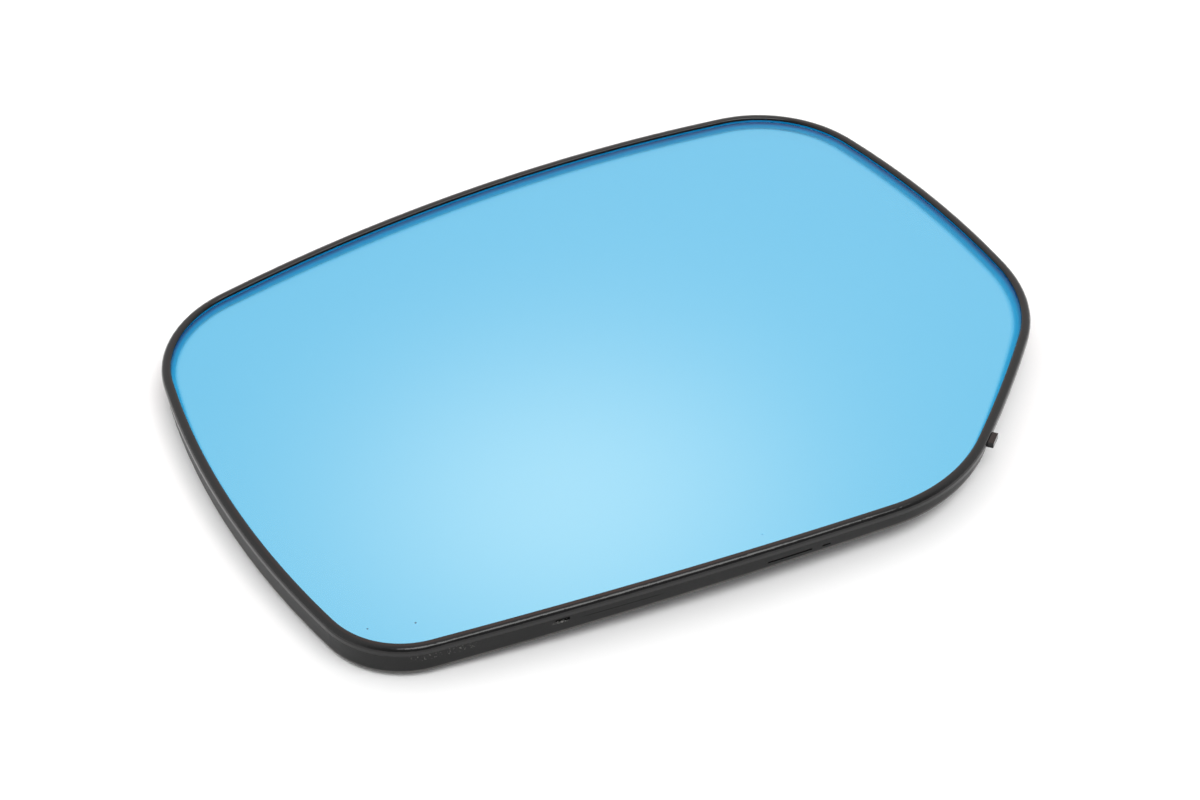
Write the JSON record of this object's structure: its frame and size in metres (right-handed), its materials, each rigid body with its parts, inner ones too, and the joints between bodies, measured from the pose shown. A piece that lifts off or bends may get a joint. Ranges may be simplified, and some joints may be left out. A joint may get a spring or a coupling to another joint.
{
  "type": "car door mirror glass",
  "caption": "Convex blue-tinted door mirror glass bonded into a black moulded holder with a beaded rim, and a snap ring on its back for the mirror drive.",
  "frame": {"origin": "below the middle of the part's box, on the snap ring's axis at the ring's end", "axes": "+X along the glass's length, towards the end with the slanted corner; +Y across the glass, towards the bowed edge; +Z out of the glass's front"},
  "size_m": [0.1787, 0.129, 0.012],
  "materials": {
    "mirror_glass": "polished",
    "adhesive_pad": "matte",
    "backing_plate": "satin"
  },
  "bodies": {
    "root": {"mirror_glass": "mirror_glass", "adhesive_pad": "adhesive_pad", "backing_plate": "backing_plate"}
  },
  "joints": []
}
